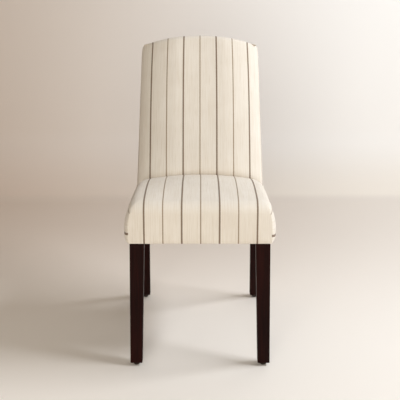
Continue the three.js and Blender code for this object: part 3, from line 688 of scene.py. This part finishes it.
def seat_place(column, row, crevice=1.0):
    """A point of the right half of the cover and the way out there, with or without the crevice."""
    kind, share = seat_rows[row]
    if kind == "hem":
        return tucked_place(column, 0.0, share)
    if kind == "tuck":
        return tucked_place(column, share * QUARTER_TURN, 0.0)
    turn = {"wall": 0.0, "roll": share * QUARTER_TURN, "crown": QUARTER_TURN}[kind]
    side = sideness(column)
    front_inset = 1 - math.cos(turn)
    side_inset = 1 - max(math.cos(turn), 0) ** SIDE_SQUARENESS
    front = seat_front + FRONT_ROLL * front_inset
    x, y, _ = seat_outline(column, front, 0.0, 0.0)
    width, edge_x, drop = side_section(y)
    slope = 2 * drop / edge_x * width * (1 - side_inset)
    side_fall = slope + towards_rear(SIDE_ROLL_DEPTH, y) * (1 - math.sin(turn) ** SIDE_SQUARENESS)
    z = seat_top(y) - drop - lerp(FRONT_ROLL * (1 - math.sin(turn)), side_fall, side)
    z -= crevice * groove(x, y) * math.sin(turn)
    lean = 1.0
    if kind == "wall":
        lean_start = underside + LEAN_START
        lean_height = max(z - lean_start, SMALLEST_RISE)
        z = lerp(tuck_top, z, share)
        lean = clamped((z - lean_start) / lean_height) ** LEAN_POWER
    x, y, out = seat_outline(column, front, lerp(front_inset, side_inset, side), lean)
    if kind == "crown":
        x *= 1 - share
        y = seat_rear - (seat_rear - y) * (1 - CROWN_GATHER * share)
        drop = towards_rear(SIDE_DROP, y) * (1 - share) ** 2
        z = seat_top(y) - drop - crevice * groove(x, y)
    return Vector((x, y, z)), out


def folded(z):
    """How fully the corner is folded at a height. The pleat fades out towards the top."""
    return clamped((PLEAT_TOP - z) / PLEAT_FADE)


def pleat(column, z):
    """How far the folded corner stands out or sinks."""
    if column == pleat_column:
        return PLEAT_STEP / 3 * folded(z)
    if column == pleat_column + 1:
        return -PLEAT_STEP * folded(z)
    return 0.0


corner_end = seat_outline(corner_last, seat_front, 0.0, 0.0)[0]


def seat_runs(column, points):
    """Where a column's points lie in the flat cloth, taken as the front and taken as the side."""
    turned_in = 0.0
    if column > pleat_column:
        turned_in = max(corner_end - seat_outline(column, seat_front, 0.0, 0.0)[0], 0)
    front_cloth = [(point.x, point.y) for point in points]
    side_cloth = front_cloth[:]
    front_run = 0.0
    side_run = 0.0
    top_x, top_y = front_cloth[top_row]
    for row in range(top_row - 1, -1, -1):
        x, y, z = points[row]
        step = points[row + 1] - points[row]
        front_run += math.hypot(step.y, step.z)
        side_run += math.hypot(step.x, step.z)
        spare = side_run - (x - top_x)
        front_cloth[row] = (x, top_y - front_run)
        side_cloth[row] = (x + turned_in * folded(z) + SIDE_DRAW * spare, y)
    return front_cloth, side_cloth


# The crevice would bend the stripes beside it, so the cloth is measured on points without it.
seat_points = []
seat_cloth = []
for column in range(seat_last + 1):
    points = []
    measured_points = []
    for row in range(len(seat_rows)):
        point, out = seat_place(column, row)
        fold = out * pleat(column, point.z)
        points.append(point + fold)
        measured_points.append(seat_place(column, row, crevice=0.0)[0] + fold)
    seat_points.append(points)
    seat_cloth.append(seat_runs(column, measured_points))


def skin(columns, rows, place, cloth):
    """A cloth surface from a grid. cloth gives each face's corners their place in the flat cloth."""
    form = bmesh.new()
    bmesh.ops.create_grid(form, x_segments=columns, y_segments=rows, size=0.5)
    grid = {v: (round((v.co.x + 0.5) * columns), round((v.co.y + 0.5) * rows)) for v in form.verts}
    layer = form.loops.layers.uv.new("cloth")
    for face in form.faces:
        corners = [grid[loop.vert] for loop in face.loops]
        first_column = min(column for column, row in corners)
        for loop, corner in zip(face.loops, corners):
            loop[layer].uv = cloth(*corner, first_column)
    for vertex, corner in grid.items():
        vertex.co = place(*corner)
    return closed(form)


def side_of(column, middle):
    """1 from the middle column on, to the right of the chair, and -1 before it."""
    return 1 if column >= middle else -1


def seat_vertex(column, row):
    x, y, z = seat_points[abs(column - seat_last)][row]
    return (x * side_of(column, seat_last), y, z)


def seat_flat(column, row, first_column):
    outer = max(abs(first_column - seat_last), abs(first_column + 1 - seat_last))
    front_cloth, side_cloth = seat_cloth[abs(column - seat_last)]
    across, along = (front_cloth if outer <= pleat_column else side_cloth)[row]
    return across * SEAT_STRIPE_SCALE * side_of(first_column, seat_last) - SEAT_STRIPE_SHIFT, along


def thickened(piece, thickness):
    wall = piece.modifiers.new("cloth thickness", "SOLIDIFY")
    wall.thickness = thickness
    wall.offset = -1
    wall.use_even_offset = False


seat_form = skin(2 * seat_last, len(seat_rows) - 1, seat_vertex, seat_flat)
seat = finished("seat_upholstery", seat_form, striped, SOFT_CREASE)
thickened(seat, CLOTH_THICKNESS)
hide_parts("seat_cover", "seat_wadding", "seat_foam")

# Back upholstery
# A tall pad over the posts and their webbing, with rolled sides and a gently arched top.
# Its cover is drawn down into the crevice behind the seat and over the rear edges.

ARCH_RISE = 0.03
FULLNESS_AT_CREST = 1.05
FULLNESS_POWER = 0.8
SHOULDER = 0.007
CREVICE = 0.008
TURN_IN = 0.011
TURN_IN_HEIGHT = 0.032
STRIPE_DRAW = 0.045
STRIPE_DRAW_POWER = 4
ROLL_END = 0.995
FITTING_ROUNDS = 12

# The columns of one half of the back, from the middle of its face round to the middle of its rear.
FACE_STEPS = 9
SIDE_ROLL_STEPS = 34
SIDE_ROLL_SPACING = 1.5
EDGE_TURNS = (22, 45, 68, 90)
REAR_FACE_STEPS = 8


def side_roll_turn(step):
    """The turn of a column round the side's roll. The last columns lie closest together."""
    return QUARTER_TURN * (1 - (1 - step / SIDE_ROLL_STEPS) ** SIDE_ROLL_SPACING)


back_columns = (
    [("face", step / FACE_STEPS) for step in range(FACE_STEPS + 1)]
    + [("roll", side_roll_turn(step)) for step in range(1, SIDE_ROLL_STEPS + 1)]
    + [("edge", math.radians(turn)) for turn in EDGE_TURNS]
    + [("rear", step / REAR_FACE_STEPS) for step in range(1, REAR_FACE_STEPS + 1)]
)
back_last = len(back_columns) - 1
arch_radius = (back_crest_half**2 + ARCH_RISE**2) / (2 * ARCH_RISE)
shoulder_v = crest_v - ARCH_RISE - TOP_ROLL


def arch_drop(x):
    """How far the arch of the top has come down at a distance from the middle."""
    return arch_radius - math.sqrt(arch_radius**2 - x**2)


def back_outline(column, half_width, front, rear, fullness):
    """Flat in the middle, then a broad roll off to the side. The fuller, the squarer."""
    kind, share = back_columns[column]
    flat = half_width * FLAT_SHARE
    if kind == "face":
        return flat * share, front
    if kind == "roll":
        x = lerp(flat, half_width, math.sin(share) ** ROLL_SPREAD)
        fall = 1 - max(math.cos(share), 0) ** fullness
        return x, lerp(front, rear - REAR_EDGE, fall)
    if kind == "edge":
        x = half_width - REAR_EDGE * (1 - math.cos(share))
        return x, rear - REAR_EDGE * (1 - math.sin(share))
    return (half_width - REAR_EDGE) * (1 - share), rear


def back_level(column, v):
    share = (max(v, 0) / crest_v) ** FULLNESS_POWER
    fullness = lerp(FULLNESS_AT_SEAT, FULLNESS_AT_CREST, share)
    return back_outline(column, back_half_width(v), -BACK_PADDING, back_rear(v), fullness)


def seat_height(x, y):
    """The seat's surface above a place in plan."""
    y = min(y, seat_rear)
    width, edge_x, drop = side_section(y)
    if abs(x) < edge_x:
        return seat_top(y) - drop * (x / edge_x) ** 2 - groove(x, y)
    past = min((abs(x) - edge_x) / width, ROLL_END)
    rise = math.sqrt(1 - past ** (2 / SIDE_SQUARENESS)) ** SIDE_SQUARENESS
    fall = drop * (1 + 2 * width * past / edge_x) + towards_rear(SIDE_ROLL_DEPTH, y) * (1 - rise)
    return seat_top(y) - fall - groove(x, y) * rise


def back_bottom(column):
    """Where a column starts, just below the seat's surface."""
    v = 0.0
    for _ in range(FITTING_ROUNDS):
        x, w = back_level(column, v)
        goal = seat_height(x, back_point(x, v, w).y) - CREVICE
        v = (goal - bend_height + w * SIN_RAKE) / COS_RAKE
    return v


def drawn_in(v):
    """How much narrower the stripes lie at a height of the back, where the cloth is pulled up."""
    return 1 - STRIPE_DRAW * (max(v, 0) / crest_v) ** STRIPE_DRAW_POWER


# The rows of the back, from the crevice to the shoulder and then over the top to its middle line.
BACK_LEVELS = 30
LEVEL_SPACING = 1.4
TOP_STEPS = 12

back_points = []
for column in range(back_last + 1):
    bottom = back_bottom(column)
    points = []
    for step in range(BACK_LEVELS):
        v = lerp(bottom, shoulder_v, (step / BACK_LEVELS) ** LEVEL_SPACING)
        x, w = back_level(column, v)
        w += TURN_IN * max(1 - (v - bottom) / TURN_IN_HEIGHT, 0) ** 2
        points.append((x, v, min(w, back_rear(v))))
    for step in range(TOP_STEPS + 1):
        turn = step / TOP_STEPS * QUARTER_TURN
        inset = 1 - math.cos(turn)
        front = -BACK_PADDING + TOP_ROLL * inset
        rear = back_rear(crest_v) - REAR_EDGE * inset
        half_width = back_half_width(crest_v) - SHOULDER * inset
        x, w = back_outline(column, half_width, front, rear, FULLNESS_AT_CREST)
        depth_share = clamped((w - front) / (rear - front))
        roll = lerp(TOP_ROLL, REAR_EDGE, depth_share)
        v = crest_v - arch_drop(x) - roll * (1 - math.sin(turn))
        w += (back_rear(v) - back_rear(crest_v)) * depth_share
        if step == TOP_STEPS:
            w = (back_rear(crest_v) - BACK_PADDING) / 2
        points.append((x, v, w))
    back_points.append(points)

# Across the cloth: the way over the face and round the side, and on the rear the plain width.
back_row_count = BACK_LEVELS + TOP_STEPS
back_cloth = {}
for row in range(back_row_count + 1):
    run = 0.0
    last_x, _, last_w = back_points[0][row]
    for column in range(back_last + 1):
        x, v, w = back_points[column][row]
        run += math.hypot(x - last_x, w - last_w)
        last_x, last_w = x, w
        across = x if back_columns[column][0] == "rear" else run
        back_cloth[column, row] = (across / drawn_in(v), v)


def back_vertex(column, row):
    x, v, w = back_points[abs(column - back_last)][row]
    return back_point(x * side_of(column, back_last), v, w)


def back_flat(column, row, first_column):
    across, along = back_cloth[abs(column - back_last), row]
    return across * side_of(first_column, back_last), along


back_form = skin(2 * back_last, back_row_count, back_vertex, back_flat)
back = finished("back_upholstery", back_form, striped, SOFT_CREASE)
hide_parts("inside_back_cover", "back_foam", "rear_wadding")

# Outside back
# A separate panel of the same cloth over thin wadding, tacked along the top and sewn down the sides.
# Its edges are turned in, a little inside the back's own edge.

SEAM_INSET = 0.006
PANEL_GAP = 0.0006
PANEL_PUFF = 0.0018
PANEL_EDGE = 0.004
PANEL_CLOTH = 0.0012
PANEL_COLUMNS = 64
PANEL_ROWS = 60

panel_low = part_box("outside_back_cover")[0].z
panel_rear = POST_DEPTH + REAR_STACK + PANEL_GAP
bend_v = panel_rear * (1 - COS_RAKE) / SIN_RAKE
straight_run = back_point(0, bend_v, panel_rear).z - panel_low
top_v = crest_v - SEAM_INSET
half_at_top = back_half_width(top_v) - SEAM_INSET


def panel_place(column, row):
    """A place on the panel, straight down the seat frame and raked above it, and its place in the cloth."""
    sideways = column / PANEL_COLUMNS * 2 - 1
    upwards = row / PANEL_ROWS
    reach = straight_run + top_v - bend_v - arch_drop(sideways * half_at_top)
    distance = upwards * reach
    v = max(bend_v + distance - straight_run, 0)
    x = sideways * (back_half_width(v) - SEAM_INSET)
    if distance < straight_run:
        point = Vector((x, post_front + panel_rear, panel_low + distance))
        out = Vector((0, 1, 0))
    else:
        point = back_point(x, v, back_rear(v) + PANEL_GAP)
        out = Vector((0, COS_RAKE, -SIN_RAKE))
    edge = min((1 - abs(sideways)) * half_at_top, (1 - upwards) * reach)
    puff = PANEL_PUFF * math.sqrt(1 - (1 - min(edge / PANEL_EDGE, 1)) ** 2)
    return point + out * puff, (x / drawn_in(v), distance)


panel_form = skin(
    PANEL_COLUMNS,
    PANEL_ROWS,
    lambda column, row: panel_place(column, row)[0],
    lambda column, row, first_column: panel_place(column, row)[1],
)
panel = finished("outside_back_panel", panel_form, striped, SOFT_CREASE)
thickened(panel, PANEL_CLOTH)
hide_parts("outside_back_cover")

# Hand stitches
# A curved needle closes the panel's two side seams with short slanting stitches of waxed linen thread.
# Each stitch lies half sunk between the panel's turned edge and the back's own cover.

STITCH_PITCH = 0.009
STITCH_LENGTH = 0.0045
STITCH_SLANT = 0.45
STITCH_SIDES = 6
THREAD = 0.0007

waxed_thread = Finish("waxed_linen_thread", roughness=0.55)
twist = waxed_thread.noise(waxed_thread.place(), 900.0, detail=2.0)
waxed_thread.colour(waxed_thread.mix(twist, shade(206, 192, 170), shade(231, 222, 204)))

seam_length = straight_run + top_v - bend_v - arch_drop(back_crest_half) - TOP_ROLL
stitch_count = int(seam_length / STITCH_PITCH)
stitch_form = bmesh.new()
for number in range(1, stitch_count):
    row = number / stitch_count * PANEL_ROWS
    for column, slant in ((0, -STITCH_SLANT), (PANEL_COLUMNS, STITCH_SLANT)):
        point = panel_place(column, row)[0]
        upwards = (panel_place(column, row + 0.5)[0] - point).normalized()
        lie = (upwards + Vector((slant, 0, 0))).to_track_quat("Z", "Y")
        stitch = bmesh.ops.create_cone(
            stitch_form,
            cap_ends=True,
            segments=STITCH_SIDES,
            radius1=THREAD / 2,
            radius2=THREAD / 2,
            depth=STITCH_LENGTH,
        )
        bmesh.ops.rotate(stitch_form, verts=stitch["verts"], matrix=lie.to_matrix())
        bmesh.ops.translate(stitch_form, verts=stitch["verts"], vec=point + Vector((0, THREAD / 3, 0)))
finished("hand_stitches", stitch_form, waxed_thread)

# Dust cover
# A black cloth stapled under the seat frame, cut round the four legs, that closes the seat from below.
# It hangs down a little between the rails.

DUST_SAG = 0.002
DUST_CLOTH = 0.0006
DUST_RISE = 0.0004
DUST_STEPS = 40
LEG_NOTCH = 0.004

dust_low, dust_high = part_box("dust_cover")
dust_width = dust_high.x - dust_low.x
dust_depth = dust_high.y - dust_low.y
dust_form = bmesh.new()
bmesh.ops.create_grid(dust_form, x_segments=DUST_STEPS, y_segments=DUST_STEPS, size=0.5)
for vertex in dust_form.verts:
    across = vertex.co.x + 0.5
    along = vertex.co.y + 0.5
    sag = DUST_SAG * 16 * across * (1 - across) * along * (1 - along)
    vertex.co = (
        dust_low.x + across * dust_width,
        dust_low.y + along * dust_depth,
        dust_low.z + DUST_RISE - sag,
    )
front_notch = (frame_side - FRONT_HEAD - LEG_NOTCH, leg_front + FRONT_HEAD + LEG_NOTCH)
rear_notch = (frame_side - POST_WIDTH - LEG_NOTCH, post_front - LEG_NOTCH)
for sign in (-1, 1):
    for notch_x, notch_y in (front_notch, rear_notch):
        split(dust_form, (sign * notch_x, 0, 0), (1, 0, 0))
        split(dust_form, (0, notch_y, 0), (0, 1, 0))


def in_notch(place):
    beside_front = abs(place.x) > front_notch[0] and place.y < front_notch[1]
    beside_rear = abs(place.x) > rear_notch[0] and place.y > rear_notch[1]
    return beside_front or beside_rear


cut_away = [face for face in dust_form.faces if in_notch(face.calc_center_median())]
bmesh.ops.delete(dust_form, geom=cut_away, context="FACES")
dust_area = sum(face.calc_area() for face in dust_form.faces)
bmesh.ops.reverse_faces(dust_form, faces=dust_form.faces)
dust = finished("dust_cover_cloth", dust_form, black_cloth)
thickened(dust, DUST_CLOTH)
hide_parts("dust_cover")

# Staples
# Galvanised upholstery staples, fired through the dust cover into the rails about every 40 mm.
# Only their crowns show, flat against the cloth and in line with its edges.

STAPLE_PITCH = 0.04
STAPLE_CROWN = 0.01
STAPLE_WIRE = 0.0009
STAPLE_INSET = 0.009
STAPLE_MARGIN = 0.012

zinc = Finish("galvanised_wire", metallic=1.0, specular_ior_level=0.5)
spangle = zinc.noise(zinc.place(), 700.0, detail=2.0)
zinc.colour(zinc.mix(spangle, shade(150, 150, 150), shade(186, 187, 188)))
zinc.roughness(0.32 + spangle * 0.16)
staple_form = bmesh.new()


def staple_row(first, last, size):
    """Staples between two places beside an edge of the dust cover."""
    count = round((last - first).length / STAPLE_PITCH)
    for number in range(count):
        staple = bmesh.ops.create_cube(staple_form, size=1.0)
        bmesh.ops.scale(staple_form, vec=size, verts=staple["verts"])
        place = first.lerp(last, (number + 0.5) / count)
        bmesh.ops.translate(staple_form, vec=place, verts=staple["verts"])


staple_z = dust_low.z - DUST_CLOTH
side_front = front_notch[1] + STAPLE_MARGIN
side_rear = rear_notch[1] - STAPLE_MARGIN
for x in (STAPLE_INSET - dust_high.x, dust_high.x - STAPLE_INSET):
    ends = [Vector((x, y, staple_z)) for y in (side_front, side_rear)]
    staple_row(*ends, (STAPLE_WIRE, STAPLE_CROWN, STAPLE_WIRE))
for y, notch_x in (
    (dust_low.y + STAPLE_INSET, front_notch[0]),
    (dust_high.y - STAPLE_INSET, rear_notch[0]),
):
    ends = [Vector((x, y, staple_z)) for x in (STAPLE_MARGIN - notch_x, notch_x - STAPLE_MARGIN)]
    staple_row(*ends, (STAPLE_CROWN, STAPLE_WIRE, STAPLE_WIRE))
finished("dust_cover_staples", staple_form, zinc)

# Camera
# It looks slightly down at the front of the chair, as the photographer's did.

CAMERA_DISTANCE = 3.012
CAMERA_HEIGHT = 1.3473
CAMERA_PITCH = 15.57

camera_data = bpy.data.cameras.new("camera")
camera_data.sensor_width = 36
camera_data.lens = 87.3
camera_data.shift_y = -0.05
camera = bpy.data.objects.new("camera", camera_data)
bpy.context.scene.collection.objects.link(camera)
camera.location = (0, -CAMERA_DISTANCE, CAMERA_HEIGHT)
camera.rotation_euler = (math.radians(90 - CAMERA_PITCH), 0, 0)
bpy.context.scene.camera = camera

# Studio
# A seamless pale sweep behind the chair, a large soft lamp high on its right and a weaker one in front.
# The paper shows on its front only, so that it never stands between a viewer and the chair. Its colours
# hold painted shade: darker and warmer to the left, and darker along the bend and the far floor.

SWEEP_FRONT = -5.0
SWEEP_MIDDLE = -1.0
SWEEP_START = 1.4
SWEEP_RADIUS = 0.3
SWEEP_STEPS = 24
SWEEP_WIDTH = 14.0
SWEEP_HEIGHT = 4.0
LAMP_TARGET = Vector((0, 0, 0.5))

outline = [(y, 0.0) for y in (SWEEP_FRONT, SWEEP_MIDDLE, SWEEP_START)]
for step in range(1, SWEEP_STEPS + 1):
    turn = step / SWEEP_STEPS * QUARTER_TURN
    y = SWEEP_START + SWEEP_RADIUS * math.sin(turn)
    outline.append((y, SWEEP_RADIUS * (1 - math.cos(turn))))
outline.append((SWEEP_START + SWEEP_RADIUS, SWEEP_HEIGHT))
sweep_form = bmesh.new()
_, sweep_edges = chain(sweep_form, [(-SWEEP_WIDTH / 2, y, z) for y, z in outline])
drawn = bmesh.ops.extrude_edge_only(sweep_form, edges=sweep_edges)
moved = [item for item in drawn["geom"] if isinstance(item, bmesh.types.BMVert)]
bmesh.ops.translate(sweep_form, vec=(SWEEP_WIDTH, 0, 0), verts=moved)
bmesh.ops.recalc_face_normals(sweep_form, faces=sweep_form.faces)
bmesh.ops.reverse_faces(sweep_form, faces=sweep_form.faces)
sweep_mesh = bpy.data.meshes.new("studio_sweep")
sweep_form.to_mesh(sweep_mesh)
sweep_form.free()
sweep_mesh.shade_smooth()
sweep = bpy.data.objects.new("studio_sweep", sweep_mesh)
bpy.context.scene.collection.objects.link(sweep)

paper = Finish("studio_paper", roughness=0.9, specular_ior_level=0.1)
paper_grain = paper.noise(paper.place(), 3.0, detail=2.0)
paper_x, paper_y, paper_z = (paper.axis(paper.place(), name) for name in "XYZ")


def sideways_painted_light(start, end, left, right):
    """A colour of the paper that changes from the left to the right between two places: painted shade on
    the left, away from the key lamp, and painted light on the right.
    """
    return paper.mix(paper_x.ramp(start, end), shade(*left), shade(*right))


# Painted shade: the low wall, just above the bend, is painted darker than the high wall, and both walls are
# painted darker and warmer on the left than on the right.
low_wall_painted_shade = sideways_painted_light(-1.6, 0.9, (216, 196, 179), (240, 232, 221))
high_wall_painted_shade = sideways_painted_light(-1.6, 0.9, (225, 210, 196), (255, 253, 250))
wall = paper.mix(paper_z.ramp(0.0, 0.3), low_wall_painted_shade, high_wall_painted_shade)
# Painted shade: both floors are painted warmer on the left, and the far floor is painted darker, so the
# floor darkens towards the back up to the bend.
near_floor_painted_shade = sideways_painted_light(-1.2, 1.0, (255, 247, 237), (246, 240, 232))
far_floor_painted_shade = sideways_painted_light(-1.6, 1.2, (215, 198, 182), (230, 222, 213))
floor = paper.mix(paper_y.ramp(-0.3, 1.2) + paper_grain * 0.02, near_floor_painted_shade, far_floor_painted_shade)
paper.colour(paper.mix(paper_z.ramp(0.004, 0.022), floor, wall))
seen_from_behind = paper.node("NewGeometry", {}, {}, "Backfacing")
lit = Signal(paper, paper.shader.outputs["BSDF"])
clear = paper.node("BsdfTransparent", {}, {})
surface = paper.node("MixShader", {}, {0: seen_from_behind, 1: lit, 2: clear})
paper.feed(paper.tree.nodes["Material Output"].inputs["Surface"], surface)
sweep_mesh.materials.append(paper.material)


def lamp(name, place, size, power, colour):
    """A soft rectangular lamp that faces the middle of the chair."""
    data = bpy.data.lights.new(name, "AREA")
    data.shape = "RECTANGLE"
    data.size, data.size_y = size
    data.energy = power
    data.color = colour
    made = bpy.data.objects.new(name, data)
    bpy.context.scene.collection.objects.link(made)
    made.location = place
    made.rotation_euler = (LAMP_TARGET - Vector(place)).to_track_quat("-Z", "Y").to_euler()


lamp("key", (2.6, -0.42, 2.85), (2.0, 0.6), 98.0, (0.94, 0.985, 1.05))
lamp("fill", (-0.35, -3.4, 1.45), (1.8, 1.4), 48.0, (0.99, 0.965, 0.91))

world = bpy.data.worlds.new("studio")
bpy.context.scene.world = world
world.use_nodes = True
background = world.node_tree.nodes["Background"]
background.inputs["Color"].default_value = (1.0, 0.86, 0.7, 1.0)
background.inputs["Strength"].default_value = 0.18
bpy.context.scene.view_settings.view_transform = "Standard"
